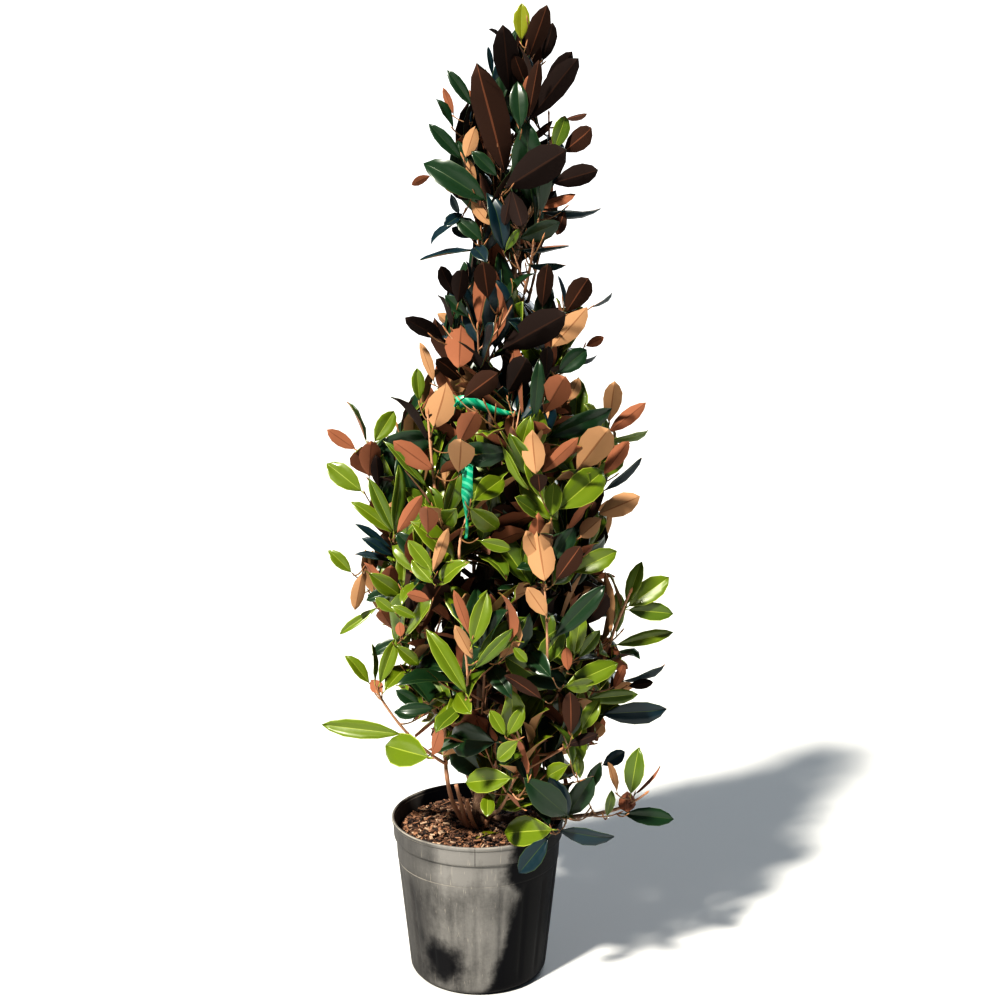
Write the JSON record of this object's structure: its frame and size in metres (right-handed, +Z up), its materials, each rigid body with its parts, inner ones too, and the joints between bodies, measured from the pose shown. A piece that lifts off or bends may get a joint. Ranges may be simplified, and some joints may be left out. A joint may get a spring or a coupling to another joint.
{
  "type": "potted magnolia tree",
  "caption": "Young evergreen magnolia in a black nursery pot: a narrow cone of glossy leaves with rust-brown felt beneath, on steep boughs from one thin trunk.",
  "frame": {"origin": "centre of the pot's flat underside", "axes": "+Z up from the underside to the top of the crown; -Y towards the side that shows the open soil on its left; +X to the right, the way the trunk leans"},
  "size_m": [0.8565, 0.854, 2.3423],
  "materials": {
    "pot": "black moulded plastic, dusty and scuffed",
    "soil": "bark chip potting mix",
    "bark": "thin grey-brown bark",
    "foliage": "glossy green above, rust-brown felt beneath"
  },
  "bodies": {
    "root": {"pot": "pot", "soil": "soil", "trunk": "bark", "bough_crest_1": "bark", "bough_crest_2": "bark", "bough_high_1": "bark", "bough_high_2": "bark", "bough_high_3": "bark", "bough_low_1": "bark", "bough_low_2": "bark", "bough_low_3": "bark", "bough_lower_1": "bark", "bough_lower_2": "bark", "bough_lower_3": "bark", "bough_lower_4": "bark", "bough_lower_5": "bark", "bough_middle_1": "bark", "bough_middle_2": "bark", "bough_middle_3": "bark", "bough_middle_4": "bark", "bough_middle_5": "bark", "bough_over_rim_1": "bark", "bough_top_1": "bark", "bough_top_2": "bark", "bough_top_3": "bark", "bough_upper_1": "bark", "bough_upper_2": "bark", "bough_upper_3": "bark", "bough_upper_4": "bark", "foliage_crest_1": "foliage", "foliage_crest_2": "foliage", "foliage_high_1": "foliage", "foliage_high_2": "foliage", "foliage_high_3": "foliage", "foliage_leader": "foliage", "foliage_low_1": "foliage", "foliage_low_2": "foliage", "foliage_low_3": "foliage", "foliage_lower_1": "foliage", "foliage_lower_2": "foliage", "foliage_lower_3": "foliage", "foliage_lower_4": "foliage", "foliage_lower_5": "foliage", "foliage_middle_1": "foliage", "foliage_middle_2": "foliage", "foliage_middle_3": "foliage", "foliage_middle_4": "foliage", "foliage_middle_5": "foliage", "foliage_over_rim_1": "foliage", "foliage_top_1": "foliage", "foliage_top_2": "foliage", "foliage_top_3": "foliage", "foliage_upper_1": "foliage", "foliage_upper_2": "foliage", "foliage_upper_3": "foliage", "foliage_upper_4": "foliage"}
  },
  "joints": []
}
